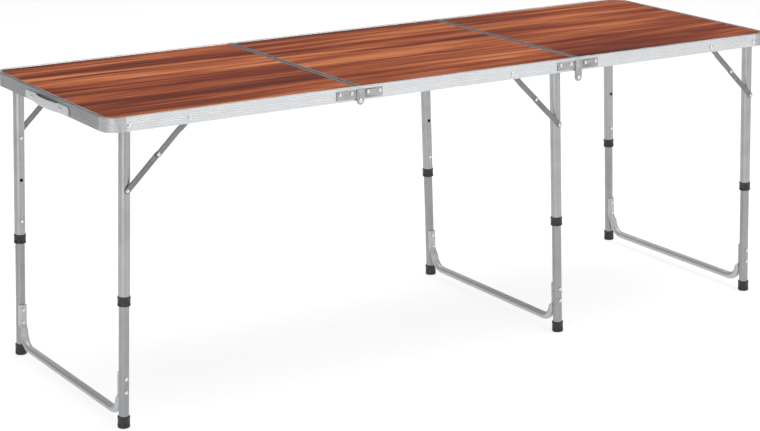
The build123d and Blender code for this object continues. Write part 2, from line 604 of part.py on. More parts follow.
    with BuildPart() as lower_links:
        with BuildSketch(depth(LOWER_LINK_DEPTH + LINK_THICKNESS)):
            with Locations(((leg_pin.X + joint.X) / 2, (leg_pin.Z + joint.Z) / 2)):
                SlotCenterToCenter(link_pitch, LINK_WIDTH, rotation=link_slope)
            with Locations((leg_pin.X, leg_pin.Z), (joint.X, joint.Z)):
                Circle(SMALL_SHANK / 2 + RUNNING_FIT, mode=Mode.SUBTRACT)
        extrude(amount=LINK_THICKNESS)
        mirror(about=Plane.XZ)
    lower_links.part.label = f"{frame}_brace_lower_links"
    export_step(lower_links.part, f"parts/{frame}_brace_lower_links.step")

    # The rivet at the middle of a brace is parted between the links, half on each
    with BuildPart() as upper_link_rivets:
        with BuildSketch(depth(link_step)):
            with Locations((joint.X, joint.Z)):
                Circle(SMALL_SHANK / 2)
        extrude(amount=LINK_THICKNESS)
        with BuildSketch(depth(JOGGLE_DEPTH)):
            with Locations((joint.X, joint.Z)):
                Circle(SMALL_HEAD / 2)
        extrude(amount=HEAD_HEIGHT)
        mirror(about=Plane.XZ)
    upper_link_rivets.part.label = f"{frame}_brace_upper_rivets"
    export_step(upper_link_rivets.part, f"parts/{frame}_brace_upper_rivets.step")

    with BuildPart() as lower_link_rivets:
        link_back = LOWER_LINK_DEPTH + LINK_THICKNESS
        leg_far_side = LEG_INSET + UPPER_DIAMETER / 2 + CURVED_GAP
        with BuildSketch(depth(link_back)):
            with Locations((joint.X, joint.Z)):
                Circle(SMALL_SHANK / 2)
        extrude(amount=LINK_THICKNESS)
        with BuildSketch(depth(link_back + HEAD_HEIGHT)):
            with Locations((joint.X, joint.Z)):
                Circle(SMALL_HEAD / 2)
        extrude(amount=HEAD_HEIGHT)
        with BuildSketch(depth(leg_far_side)):
            with Locations((leg_pin.X, leg_pin.Z)):
                Circle(SMALL_SHANK / 2)
        extrude(amount=leg_far_side - LOWER_LINK_DEPTH)
        with BuildSketch(depth(leg_far_side + HEAD_HEIGHT)):
            with Locations((leg_pin.X, leg_pin.Z)):
                Circle(SMALL_HEAD / 2)
        extrude(amount=HEAD_HEIGHT)
        with BuildSketch(depth(LEG_SURFACE - CURVED_GAP)):
            with Locations((leg_pin.X, leg_pin.Z)):
                Circle(SMALL_HEAD / 2)
        extrude(amount=LEG_SURFACE - CURVED_GAP - link_back)
        with BuildSketch(depth(LOWER_LINK_DEPTH)):
            with Locations((leg_pin.X, leg_pin.Z)):
                Circle(SMALL_HEAD / 2)
        extrude(amount=HEAD_HEIGHT)
        mirror(about=Plane.XZ)
    lower_link_rivets.part.label = f"{frame}_brace_lower_rivets"
    export_step(lower_link_rivets.part, f"parts/{frame}_brace_lower_rivets.step")

    # Snap clips: a bent spring strip inside the lower tube, with the button that locks the height
    for side_name, side in (("front", -1), ("back", 1)):
        clip_base = leg_base + Vector(0, side * LEG_Y, 0)
        clip_plane = Plane(origin=clip_base, x_dir=(0, -side, 0), z_dir=leg_across * -side)
        button_plane = Plane(origin=clip_base + leg_up * BUTTON_HEIGHT, z_dir=(0, -side, 0)).offset(CLIP_ARM)
        with BuildPart() as clip:
            with BuildSketch(clip_plane):
                with BuildLine():
                    Polyline(
                        (CLIP_ARM, CLIP_TOP),
                        (CLIP_ARM, CLIP_KNEE),
                        (0, CLIP_BEND),
                        (-CLIP_ARM, CLIP_KNEE),
                        (-CLIP_ARM, CLIP_TOP),
                    )
                trace(line_width=CLIP_STRIP)
            extrude(amount=CLIP_WIDTH / 2, both=True)
            with BuildSketch(button_plane):
                Circle(BUTTON_DIAMETER / 2)
            extrude(amount=BUTTON_TIP - CLIP_ARM)
            tip = clip.edges().filter_by(GeomType.CIRCLE).sort_by(Axis.Y)[0 if side > 0 else -1]
            fillet(tip, radius=1.5)
        clip.part.label = f"{frame}_leg_{side_name}_clip"
        export_step(clip.part, f"parts/{frame}_leg_{side_name}_clip.step")
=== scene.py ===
import math

import bmesh
import bpy
from mathutils import Matrix, Vector


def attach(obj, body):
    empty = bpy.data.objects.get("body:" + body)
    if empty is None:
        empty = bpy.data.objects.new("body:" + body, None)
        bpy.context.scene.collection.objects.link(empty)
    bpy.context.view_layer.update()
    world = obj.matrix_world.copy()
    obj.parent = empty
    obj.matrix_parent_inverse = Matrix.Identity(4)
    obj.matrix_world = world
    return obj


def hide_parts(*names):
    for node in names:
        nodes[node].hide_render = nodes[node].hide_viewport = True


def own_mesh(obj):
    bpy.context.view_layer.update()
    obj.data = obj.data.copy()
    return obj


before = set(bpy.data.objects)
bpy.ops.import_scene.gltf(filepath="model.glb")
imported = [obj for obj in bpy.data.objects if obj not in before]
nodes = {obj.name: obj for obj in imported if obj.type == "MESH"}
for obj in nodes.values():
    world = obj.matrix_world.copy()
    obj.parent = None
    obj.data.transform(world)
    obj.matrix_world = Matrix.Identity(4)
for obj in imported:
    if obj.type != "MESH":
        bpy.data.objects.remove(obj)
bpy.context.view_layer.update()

# The room: a pale glowing floor, a broad soft light in front on the right, a brighter one overhead
# and a weak fill on the left, in a dim world that brightens towards the top. The camera stands off
# the front left corner, well above the table top.
bpy.context.scene.view_settings.view_transform = "Standard"
FLOOR_COLOUR = (0.32, 0.32, 0.32, 1)
FLOOR_ROUGHNESS = 0.75
FLOOR_GLOW = 0.76
FLOOR_SIZE = 60.0
WORLD_COLOUR = (0.97, 0.98, 1.0, 1)
HORIZON_STRENGTH = 0.06
ZENITH_STRENGTH = 0.45
ZENITH_HEIGHT = 0.7

bm = bmesh.new()
bmesh.ops.create_grid(bm, x_segments=2, y_segments=2, size=FLOOR_SIZE / 2)
floor_mesh = bpy.data.meshes.new("floor")
bm.to_mesh(floor_mesh)
bm.free()
floor = bpy.data.objects.new("floor", floor_mesh)
bpy.context.scene.collection.objects.link(floor)
floor_paint = bpy.data.materials.new("pale floor")
floor_paint.use_nodes = True
floor_shader = floor_paint.node_tree.nodes["Principled BSDF"]
floor_shader.inputs["Base Color"].default_value = FLOOR_COLOUR
floor_shader.inputs["Roughness"].default_value = FLOOR_ROUGHNESS
floor_shader.inputs["Specular IOR Level"].default_value = 0.0
floor_shader.inputs["Emission Color"].default_value = (1, 1, 1, 1)
floor_shader.inputs["Emission Strength"].default_value = FLOOR_GLOW
floor_mesh.materials.append(floor_paint)

world = bpy.data.worlds.new("studio")
bpy.context.scene.world = world
world.use_nodes = True
sky = world.node_tree
direction = sky.nodes.new("ShaderNodeSeparateXYZ")
sky.links.new(sky.nodes.new("ShaderNodeTexCoord").outputs["Generated"], direction.inputs[0])
glow = sky.nodes.new("ShaderNodeMapRange")
glow.inputs["From Min"].default_value = 0.0
glow.inputs["From Max"].default_value = ZENITH_HEIGHT
glow.inputs["To Min"].default_value = HORIZON_STRENGTH
glow.inputs["To Max"].default_value = ZENITH_STRENGTH
sky.links.new(direction.outputs["Z"], glow.inputs["Value"])
background = sky.nodes["Background"]
background.inputs["Color"].default_value = WORLD_COLOUR
sky.links.new(glow.outputs[0], background.inputs["Strength"])

AIM = Vector((0.0, 0.0, 0.4))
LIGHTS = {
    "key": ((3.6, -6.0, 2.6), 4.0, 95.0),
    "overhead": ((0.4, 0.2, 4.6), 5.0, 235.0),
    "fill": ((-4.6, -3.6, 1.1), 2.5, 60.0),
}
for name, (place, size, power) in LIGHTS.items():
    light = bpy.data.lights.new(name, "AREA")
    light.size = size
    light.energy = power
    lamp = bpy.data.objects.new(name, light)
    lamp.location = place
    lamp.rotation_euler = (AIM - Vector(place)).to_track_quat("-Z", "Y").to_euler()
    bpy.context.scene.collection.objects.link(lamp)

CAMERA_PLACE = (-2.5759, -3.9809, 1.6001)
CAMERA_TURN = 0.5857
CAMERA_DIP = -0.2564
CAMERA_ROLL = 0.0034
CAMERA_LENS = 96.23
CAMERA_SENSOR = 36.0
CAMERA_SHIFT = (-0.0526, -0.0467)
CAMERA_REACH = 200.0
camera_data = bpy.data.cameras.new("camera")
camera_data.lens = CAMERA_LENS
camera_data.sensor_width = CAMERA_SENSOR
camera_data.shift_x, camera_data.shift_y = CAMERA_SHIFT
camera_data.clip_end = CAMERA_REACH
camera = bpy.data.objects.new("camera", camera_data)
turn = Matrix.Rotation(-CAMERA_TURN, 4, "Z") @ Matrix.Rotation(math.pi / 2 + CAMERA_DIP, 4, "X")
camera.matrix_world = Matrix.Translation(CAMERA_PLACE) @ turn @ Matrix.Rotation(CAMERA_ROLL, 4, "Z")
bpy.context.scene.collection.objects.link(camera)
bpy.context.scene.camera = camera

# The boards: thin sheets faced with a printed woodgrain laminate, red-brown with dark and light
# streaks along the table. Each sheet was cut from another stretch of the print, so none match.
LENGTH = 1.8
WIDTH = 0.6
HEIGHT = 0.675
CENTRE = 0.007
PRINT_DEPTH = 0.0028
LEFT_END = CENTRE - LENGTH / 2
RIGHT_END = CENTRE + LENGTH / 2
LEFT_SEAM = LEFT_END + LENGTH / 3
RIGHT_SEAM = LEFT_SEAM + LENGTH / 3
BOARD_PRINTS = {
    "left_board": ((0.0, 0.0, 0.0), 0.0),
    "centre_board": ((3.1, 1.37, 0.0), 0.04),
    "right_board": ((7.7, 2.91, 0.0), -0.02),
}
WOOD_TONES = (
    (0.0, (0.072, 0.011, 0.005, 1)),
    (0.28, (0.144, 0.025, 0.009, 1)),
    (0.50, (0.240, 0.051, 0.017, 1)),
    (0.72, (0.352, 0.096, 0.032, 1)),
    (1.0, (0.520, 0.180, 0.070, 1)),
)


def add_socket(group, name, kind, out=False, default=None):
    """Add a named input or output to a node group."""
    socket = group.interface.new_socket(name=name, in_out="OUTPUT" if out else "INPUT", socket_type=kind)
    if default is not None:
        socket.default_value = default
    return socket


def put(tree, kind, values=None, **settings):
    """Add a node, with settings by attribute name and input values by socket name or number."""
    node = tree.nodes.new(kind)
    for key, value in settings.items():
        setattr(node, key, value)
    for key, value in (values or {}).items():
        if isinstance(value, bpy.types.NodeSocket):
            tree.links.new(value, node.inputs[key])
        else:
            node.inputs[key].default_value = value
    return node


def maths(tree, operation, first, second=0.0, third=0.0, clamp=False):
    """A Math node with its inputs given, returning its result."""
    values = {0: first, 1: second, 2: third}
    return put(tree, "ShaderNodeMath", values, operation=operation, use_clamp=clamp).outputs[0]


def blend_colour(tree, factor, first, second, mode="MIX"):
    """A colour Mix node, returning its result."""
    node = put(tree, "ShaderNodeMix", {0: factor, 6: first, 7: second}, data_type="RGBA", blend_type=mode)
    return node.outputs[2]


woodgrain = bpy.data.node_groups.new("woodgrain print", "ShaderNodeTree")
add_socket(woodgrain, "Offset", "NodeSocketVector")
add_socket(woodgrain, "Lightness", "NodeSocketFloat", default=0.0)
add_socket(woodgrain, "Colour", "NodeSocketColor", out=True)
add_socket(woodgrain, "Roughness", "NodeSocketFloat", out=True)
add_socket(woodgrain, "Height", "NodeSocketFloat", out=True)
given = put(woodgrain, "NodeGroupInput")
place = put(woodgrain, "ShaderNodeTexCoord").outputs["Object"]
shifted = put(woodgrain, "ShaderNodeVectorMath", {0: place, 1: given.outputs["Offset"]}, operation="ADD")


def grain(tree, source, scale, detail, distortion, rough=0.55):
    """Noise stretched along the table, in cycles per metre."""
    stretched = put(tree, "ShaderNodeMapping", {"Vector": source, "Scale": scale})
    values = {"Vector": stretched.outputs[0], "Scale": 1.0, "Detail": detail}
    values.update({"Roughness": rough, "Distortion": distortion})
    return put(tree, "ShaderNodeTexNoise", values).outputs[0]


figure = grain(woodgrain, shifted.outputs[0], (1.1, 9.0, 1.0), 2.0, 0.8)
bent = put(woodgrain, "ShaderNodeCombineXYZ", {"Y": maths(woodgrain, "MULTIPLY", figure, 0.055)})
warped = put(woodgrain, "ShaderNodeVectorMath", {0: shifted.outputs[0], 1: bent.outputs[0]}, operation="ADD")
bands = grain(woodgrain, warped.outputs[0], (0.8, 15.0, 1.0), 3.0, 0.5)
streaks = grain(woodgrain, warped.outputs[0], (2.2, 75.0, 1.0), 4.0, 0.3)
fibres = grain(woodgrain, warped.outputs[0], (7.0, 330.0, 1.0), 3.0, 0.15)
pores = grain(woodgrain, shifted.outputs[0], (28.0, 900.0, 1.0), 2.0, 0.0)
tone = maths(woodgrain, "MULTIPLY", bands, 1.05)
tone = maths(woodgrain, "ADD", tone, maths(woodgrain, "MULTIPLY", streaks, 0.75))
tone = maths(woodgrain, "ADD", tone, maths(woodgrain, "MULTIPLY", fibres, 0.34))
tone = maths(woodgrain, "MULTIPLY_ADD", tone, 2.15, -1.80)
tone = maths(woodgrain, "ADD", tone, given.outputs["Lightness"])
ramp = put(woodgrain, "ShaderNodeValToRGB", {"Fac": tone})
for position, colour in WOOD_TONES[1:-1]:
    ramp.color_ramp.elements.new(position).color = colour
ramp.color_ramp.elements[0].color = WOOD_TONES[0][1]
ramp.color_ramp.elements[-1].color = WOOD_TONES[-1][1]
pore_values = {"Value": pores, "From Min": 0.30, "From Max": 0.42, "To Min": 1.0, "To Max": 0.0}
pore_mask = put(woodgrain, "ShaderNodeMapRange", pore_values).outputs[0]
pore_depth = maths(woodgrain, "MULTIPLY", pore_mask, 0.55)
inked = blend_colour(woodgrain, pore_depth, ramp.outputs[0], (0.09, 0.025, 0.012, 1))
shine = maths(woodgrain, "ADD", maths(woodgrain, "MULTIPLY", streaks, 0.12), 0.30)
relief = maths(woodgrain, "SUBTRACT", maths(woodgrain, "MULTIPLY", fibres, 0.4), pore_mask)
level = put(woodgrain, "ShaderNodeSeparateXYZ", {0: place}).outputs["Z"]
printed_side = maths(woodgrain, "GREATER_THAN", level, HEIGHT - PRINT_DEPTH)
felted = put(woodgrain, "ShaderNodeTexNoise", {"Vector": place, "Scale": 240.0, "Detail": 6.0}).outputs[0]
paper = blend_colour(woodgrain, felted, (0.50, 0.49, 0.47, 1), (0.62, 0.61, 0.58, 1))
faced = blend_colour(woodgrain, printed_side, paper, inked)
put(woodgrain, "NodeGroupOutput", {"Colour": faced, "Roughness": shine, "Height": relief})


def new_material(name):
    """A material with its Principled shader, as (material, tree, shader)."""
    material = bpy.data.materials.new(name)
    material.use_nodes = True
    return material, material.node_tree, material.node_tree.nodes["Principled BSDF"]


def finish_from(tree, shader, source, bump, distance):
    """Join a finish group's colour, roughness and height to the shader."""
    tree.links.new(source.outputs["Colour"], shader.inputs["Base Color"])
    tree.links.new(source.outputs["Roughness"], shader.inputs["Roughness"])
    values = {"Height": source.outputs["Height"], "Strength": bump, "Distance": distance}
    tree.links.new(put(tree, "ShaderNodeBump", values).outputs[0], shader.inputs["Normal"])


for node, (offset, lightness) in BOARD_PRINTS.items():
    laminate, tree, shader = new_material(f"woodgrain laminate {node}")
    printed = put(tree, "ShaderNodeGroup", node_tree=woodgrain)
    printed.inputs["Offset"].default_value = offset
    printed.inputs["Lightness"].default_value = lightness
    finish_from(tree, shader, printed, 0.25, 0.00012)
    shader.inputs["Specular IOR Level"].default_value = 0.08
    nodes[node].data.materials.clear()
    nodes[node].data.materials.append(laminate)

# The rails: ribbed aluminium extrusions, satin anodised, with a rolled lip over the boards and a
# ledge under them. The corners are bent from the same section and butt against the straight rails.
RAIL_HEIGHT = 0.0305
RAIL_WALL = 0.0018
LIP_WIDTH = 0.0085
LIP_THICKNESS = 0.0011
LEDGE_DROP = 0.0045
LEDGE_THICKNESS = 0.0015
RIB_DEPTH = 0.0005
RIB_COUNT = 6
WALL_POINTS = 190
LIP_ROUND = 0.00045
LIP_OVERRUN = 0.00015
LEDGE_SETBACK = 0.0002
CORNER_RADIUS = 0.035
CORNER_SPAN = 0.042
CORNER_STEPS = 16
BUTT_GAP = 0.0003
SEAM_GAP = 0.0004
HALF = WIDTH / 2

metal = bpy.data.node_groups.new("worn metal", "ShaderNodeTree")
add_socket(metal, "Colour", "NodeSocketColor", default=(0.7, 0.7, 0.72, 1))
add_socket(metal, "Stain", "NodeSocketColor", default=(0.4, 0.4, 0.42, 1))
add_socket(metal, "Stretch", "NodeSocketVector", default=(20.0, 400.0, 400.0))
add_socket(metal, "Smooth", "NodeSocketFloat", default=0.28)
add_socket(metal, "Spread", "NodeSocketFloat", default=0.15)
add_socket(metal, "Stain amount", "NodeSocketFloat", default=0.12)
add_socket(metal, "Colour", "NodeSocketColor", out=True)
add_socket(metal, "Roughness", "NodeSocketFloat", out=True)
add_socket(metal, "Height", "NodeSocketFloat", out=True)
given = put(metal, "NodeGroupInput")
place = put(metal, "ShaderNodeTexCoord").outputs["Object"]
drawn = put(metal, "ShaderNodeMapping", {"Vector": place, "Scale": given.outputs["Stretch"]})
line_values = {"Vector": drawn.outputs[0], "Scale": 1.0, "Detail": 4.0}
lines = put(metal, "ShaderNodeTexNoise", line_values).outputs[0]
clouds = put(metal, "ShaderNodeTexNoise", {"Vector": place, "Scale": 26.0, "Detail": 5.0}).outputs[0]
specks = put(metal, "ShaderNodeTexNoise", {"Vector": place, "Scale": 900.0, "Detail": 2.0}).outputs[0]
cloud_values = {"Value": clouds, "From Min": 0.42, "From Max": 0.72}
cloud_mask = put(metal, "ShaderNodeMapRange", cloud_values).outputs[0]
stained = maths(metal, "MULTIPLY", cloud_mask, given.outputs["Stain amount"])
line_mask = put(metal, "ShaderNodeMapRange", {"Value": lines, "From Min": 0.35, "From Max": 0.65}).outputs[0]
stained = maths(metal, "ADD", stained, maths(metal, "MULTIPLY", line_mask, 0.07), clamp=True)
toned = blend_colour(metal, stained, given.outputs["Colour"], given.outputs["Stain"])
gloss = maths(metal, "MULTIPLY", line_mask, given.outputs["Spread"])
gloss = maths(metal, "ADD", gloss, maths(metal, "MULTIPLY", cloud_mask, 0.06))
gloss = maths(metal, "ADD", gloss, given.outputs["Smooth"])
raised = maths(metal, "ADD", maths(metal, "MULTIPLY", lines, 0.6), maths(metal, "MULTIPLY", specks, 0.4))
put(metal, "NodeGroupOutput", {"Colour": toned, "Roughness": gloss, "Height": raised})


def metal_finish(name, colour, stain, stretch, smooth, bump=0.12, stain_amount=0.12, metallic=1.0):
    """A metal material with the shared finish group at its own values."""
    material, tree, shader = new_material(name)
    worn = put(tree, "ShaderNodeGroup", node_tree=metal)
    settings = {"Colour": colour, "Stain": stain, "Stretch": stretch, "Smooth": smooth}
    settings["Stain amount"] = stain_amount
    for key, value in settings.items():
        worn.inputs[key].default_value = value
    finish_from(tree, shader, worn, bump, 0.0001)
    shader.inputs["Metallic"].default_value = metallic
    return material


ACROSS_TABLE = (700.0, 14.0, 700.0)
ROUND_TABLE = (14.0, 14.0, 900.0)
rail_metal = metal_finish(
    "satin rail aluminium", (0.69, 0.70, 0.71, 1), (0.56, 0.57, 0.58, 1), ROUND_TABLE, 0.34, bump=0.05
)
corner_metal = metal_finish(
    "brushed corner aluminium", (0.52, 0.53, 0.54, 1), (0.41, 0.42, 0.43, 1), ROUND_TABLE, 0.36, bump=0.05
)
# The seam trims are the same rail aluminium painted much darker: painted shade for the narrow seams between
# the boards.
seam_shaded_metal = metal_finish(
    "seam aluminium darkened as painted shade", (0.25, 0.25, 0.26, 1), (0.15, 0.15, 0.16, 1), ACROSS_TABLE, 0.42
)

sweep = bpy.data.node_groups.new("ribbed rail", "GeometryNodeTree")
add_socket(sweep, "Geometry", "NodeSocketGeometry")
RAIL_SIZES = {
    "Height": RAIL_HEIGHT,
    "Wall": RAIL_WALL,
    "Lip width": LIP_WIDTH,
    "Lip thickness": LIP_THICKNESS,
    "Ledge drop": LEDGE_DROP,
    "Ledge thickness": LEDGE_THICKNESS,
    "Rib depth": RIB_DEPTH,
    "Rib count": float(RIB_COUNT),
}
for name, size in RAIL_SIZES.items():
    add_socket(sweep, name, "NodeSocketFloat", default=size)
add_socket(sweep, "Material", "NodeSocketMaterial")
add_socket(sweep, "Geometry", "NodeSocketGeometry", out=True)
given = put(sweep, "NodeGroupInput")
size_of = given.outputs


def moved(tree, curve, across, down):
    """Shift a section curve in its own plane."""
    offset = put(tree, "ShaderNodeCombineXYZ", {"X": across, "Y": down})
    values = {"Geometry": curve, "Translation": offset.outputs[0]}
    return put(tree, "GeometryNodeTransform", values).outputs[0]


wall_shape = {"Width": size_of["Wall"], "Height": size_of["Height"]}
wall = put(sweep, "GeometryNodeCurvePrimitiveQuadrilateral", wall_shape)
dense = put(sweep, "GeometryNodeResampleCurve", {"Curve": wall.outputs[0], "Count": WALL_POINTS})
spot = put(sweep, "ShaderNodeSeparateXYZ", {0: put(sweep, "GeometryNodeInputPosition").outputs[0]})
level = maths(sweep, "DIVIDE", spot.outputs["Y"], size_of["Height"])
cycle = maths(sweep, "MULTIPLY", maths(sweep, "ADD", level, 0.5), size_of["Rib count"])
from_groove = maths(sweep, "ABSOLUTE", maths(sweep, "SUBTRACT", maths(sweep, "FRACT", cycle), 0.5))
groove_values = {"Value": from_groove, "From Min": 0.15, "From Max": 0.25, "To Min": 1.0, "To Max": 0.0}
groove = put(sweep, "ShaderNodeMapRange", groove_values, interpolation_type="SMOOTHSTEP").outputs[0]
outer_side = maths(sweep, "GREATER_THAN", spot.outputs["X"], 0.0)
sink = maths(sweep, "MULTIPLY", maths(sweep, "MULTIPLY", groove, outer_side), size_of["Rib depth"])
inward = put(sweep, "ShaderNodeCombineXYZ", {"X": maths(sweep, "MULTIPLY", sink, -1.0)})
ribbed = put(sweep, "GeometryNodeSetPosition", {"Geometry": dense.outputs[0], "Offset": inward.outputs[0]})
half_wall = maths(sweep, "MULTIPLY", size_of["Wall"], -0.5)
half_height = maths(sweep, "MULTIPLY", size_of["Height"], 0.5)
lip_shape = {"Width": size_of["Lip width"], "Height": size_of["Lip thickness"]}
lip = put(sweep, "GeometryNodeCurvePrimitiveQuadrilateral", lip_shape)
rolled = put(sweep, "GeometryNodeFilletCurve", {"Curve": lip.outputs[0], "Radius": LIP_ROUND})
ledge_shape = {"Width": size_of["Lip width"], "Height": size_of["Ledge thickness"]}
ledge = put(sweep, "GeometryNodeCurvePrimitiveQuadrilateral", ledge_shape)
half_lip = maths(sweep, "MULTIPLY", size_of["Lip width"], -0.5)
ledge_half = maths(sweep, "MULTIPLY", size_of["Ledge thickness"], 0.5)
section = put(sweep, "GeometryNodeJoinGeometry")
sweep.links.new(moved(sweep, ribbed.outputs[0], half_wall, half_height), section.inputs[0])
lip_middle = maths(sweep, "MULTIPLY", size_of["Lip thickness"], 0.5)
lip_across = maths(sweep, "ADD", half_lip, LIP_OVERRUN)
sweep.links.new(moved(sweep, rolled.outputs[0], lip_across, lip_middle), section.inputs[0])
ledge_middle = maths(sweep, "ADD", size_of["Ledge drop"], ledge_half)
ledge_across = maths(sweep, "SUBTRACT", half_lip, LEDGE_SETBACK)
sweep.links.new(moved(sweep, ledge.outputs[0], ledge_across, ledge_middle), section.inputs[0])
route = put(sweep, "GeometryNodeMeshToCurve", {"Mesh": given.outputs["Geometry"]})
upright = put(sweep, "GeometryNodeSetCurveNormal", {"Curve": route.outputs[0]}, mode="Z_UP")
swept_values = {"Curve": upright.outputs[0], "Profile Curve": section.outputs[0], "Fill Caps": True}
swept = put(sweep, "GeometryNodeCurveToMesh", swept_values)
real = put(sweep, "GeometryNodeRealizeInstances", {"Geometry": swept.outputs[0]})
coat = {"Geometry": real.outputs[0], "Material": given.outputs["Material"]}
dressed = put(sweep, "GeometryNodeSetMaterial", coat)
put(sweep, "NodeGroupOutput", {"Geometry": dressed.outputs[0]})


def grown(name, mesh, tree, inputs, sharp_angle=35.0):
    """Run a geometry tree on a mesh and return the plain object that it makes, faces outwards."""
    maker = bpy.data.objects.new(name, mesh)
    bpy.context.scene.collection.objects.link(maker)
    modifier = maker.modifiers.new("shape", "NODES")
    modifier.node_group = tree
    for item in tree.interface.items_tree:
        if item.item_type == "SOCKET" and item.in_out == "INPUT" and item.name in inputs:
            modifier[item.identifier] = inputs[item.name]
    seen = maker.evaluated_get(bpy.context.evaluated_depsgraph_get())
    result = bpy.data.meshes.new_from_object(seen)
    maker.modifiers.clear()
    bm = bmesh.new()
    bm.from_mesh(result)
    bmesh.ops.recalc_face_normals(bm, faces=bm.faces)
    bm.to_mesh(result)
    bm.free()
    result.shade_smooth()
    result.set_sharp_from_angle(angle=math.radians(sharp_angle))
    maker.data = result
    return maker


def route_mesh(name, runs):
    """Edges that follow each run of points, one spline a run."""
    points = [point for run in runs for point in run]
    edges = []
    start = 0
    for run in runs:
        edges += [(start + i, start + i + 1) for i in range(len(run) - 1)]
        start += len(run)
    mesh = bpy.data.meshes.new(name)
    mesh.from_pydata(points, edges, [])
    return mesh


def corner_run(centre, start_angle, lead):
    """A corner's route: a short straight, a quarter turn to the left, and another straight."""
    turn_points = []
    for step in range(CORNER_STEPS + 1):
        angle = math.radians(start_angle + 90 * step / CORNER_STEPS)
        spot = Vector((math.cos(angle), math.sin(angle), 0)) * CORNER_RADIUS
        turn_points.append(Vector(centre) + spot)
    first = Vector((math.sin(math.radians(start_angle)), -math.cos(math.radians(start_angle)), 0)) * lead
    last_angle = math.radians(start_angle + 90)
    last = Vector((-math.sin(last_angle), math.cos(last_angle), 0)) * lead
    return [turn_points[0] + first] + turn_points + [turn_points[-1] + last]


LEAD = CORNER_SPAN - CORNER_RADIUS - BUTT_GAP / 2
RAIL_START = CORNER_SPAN + BUTT_GAP / 2
SEAM_HALF = HALF - LIP_WIDTH - BUTT_GAP / 2
END_HALF = HALF - RAIL_START
TURN_X = {"left": LEFT_END + CORNER_RADIUS, "right": RIGHT_END - CORNER_RADIUS}
TURN_Y = HALF - CORNER_RADIUS
CORNER_HEADINGS = {("left", 1): 90, ("left", -1): 180, ("right", -1): 270, ("right", 1): 0}
PANEL_SPANS = {
    "left": (LEFT_END + RAIL_START, LEFT_SEAM - SEAM_GAP / 2),
    "centre": (LEFT_SEAM + SEAM_GAP / 2, RIGHT_SEAM - SEAM_GAP / 2),
    "right": (RIGHT_SEAM + SEAM_GAP / 2, RIGHT_END - RAIL_START),
}


def rail_piece(name, runs, body, finish, slot, *replaced):
    """Sweep the rail section along the runs and hang it on its panel."""
    piece = grown(name, route_mesh(name, runs), sweep, {**RAIL_SIZES, "Material": finish})
    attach(piece, body)
    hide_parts(*replaced)


for panel, (start, end) in PANEL_SPANS.items():
    straight_runs = [
        [(start, -HALF, HEIGHT), (end, -HALF, HEIGHT)],
        [(end, HALF, HEIGHT), (start, HALF, HEIGHT)],
    ]
    body = f"{panel}_panel"
    rail_piece(f"{panel}_rails", straight_runs, body, rail_metal, "rail_aluminium", f"{panel}_side_rails")
    seam_runs = []
    if panel != "left":
        seam_runs.append([(start, SEAM_HALF, HEIGHT), (start, -SEAM_HALF, HEIGHT)])
    if panel != "right":
        seam_runs.append([(end, -SEAM_HALF, HEIGHT), (end, SEAM_HALF, HEIGHT)])
    rail_piece(f"{panel}_seam_trim", seam_runs, body, seam_shaded_metal, "rail_aluminium", f"{panel}_seam_rails")
# The end rails are the same rail aluminium painted about half as bright: painted shade for the table's ends.
end_rail_shaded_metal = metal_finish(
    "end aluminium darkened as painted shade", (0.36, 0.365, 0.37, 1), (0.28, 0.285, 0.29, 1), ROUND_TABLE, 0.34, bump=0.05
)
for panel, end_x, way in (("left", LEFT_END, -1), ("right", RIGHT_END, 1)):
    body = f"{panel}_panel"
    end_run = [(end_x, -way * END_HALF, HEIGHT), (end_x, way * END_HALF, HEIGHT)]
    rail_piece(f"{panel}_end", [end_run], body, end_rail_shaded_metal, "rail_aluminium", f"{panel}_end_rail")
    corner_runs = []
    for side in (-way, way):
        centre = (TURN_X[panel], side * TURN_Y, HEIGHT)
        corner_runs.append(corner_run(centre, CORNER_HEADINGS[panel, side], LEAD))
    rail_piece(f"{panel}_corner_pair", corner_runs, body, corner_metal, "corner_metal", f"{panel}_corners")

# The carrying handle on the left end: a flat silver plastic strap, bowed outwards between two pads
# with round corners. It is moulded in one piece, and a rivet holds each pad to the end rail.
HANDLE_HEIGHT = 0.020
HANDLE_LEVEL = HEIGHT - 0.020
PAD_LENGTH = 0.060
PAD_MIDDLE = 0.082
PAD_THICKNESS = 0.0032
PAD_CORNER = 0.0085
PAD_EDGE = ((0.0, 0.0), (0.6, 0.0), (0.9, 0.0005), (1.0, 0.0012))
PAD_BACK = LEFT_END - 0.0002
STRAP_STANDOFF = 0.0012
STRAP_ROUND = 0.0009
STRAP_THICKNESS = 0.0024
STRAP_HEIGHT = 0.0192
STRAP_BOW = 0.0068
STRAP_HALF = 0.066
STRAP_STEPS = 28
handle_silver = metal_finish(
    "silver handle", (0.60, 0.60, 0.61, 1), (0.49, 0.49, 0.50, 1), ROUND_TABLE, 0.30, metallic=0.0
)


def rounded_outline(width, height, radius, steps=6):
    """Points round a rectangle with rounded corners, anticlockwise about the origin."""
    points = []
    for corner in range(4):
        middle_x = (width / 2 - radius) * (1 if corner in (0, 3) else -1)
        middle_y = (height / 2 - radius) * (1 if corner in (0, 1) else -1)
        for step in range(steps + 1):
            angle = math.radians(90 * corner + 90 * step / steps)
            points.append((middle_x + radius * math.cos(angle), middle_y + radius * math.sin(angle)))
    return points


def loft(bm, rings):
    """Join rings of points with quads and close both ends."""
    made = [[bm.verts.new(point) for point in ring] for ring in rings]
    count = len(made[0])
    for near, far in zip(made, made[1:]):
        for i in range(count):
            j = (i + 1) % count
            bm.faces.new((near[i], near[j], far[j], far[i]))
    bm.faces.new(made[0])
    bm.faces.new(list(reversed(made[-1])))


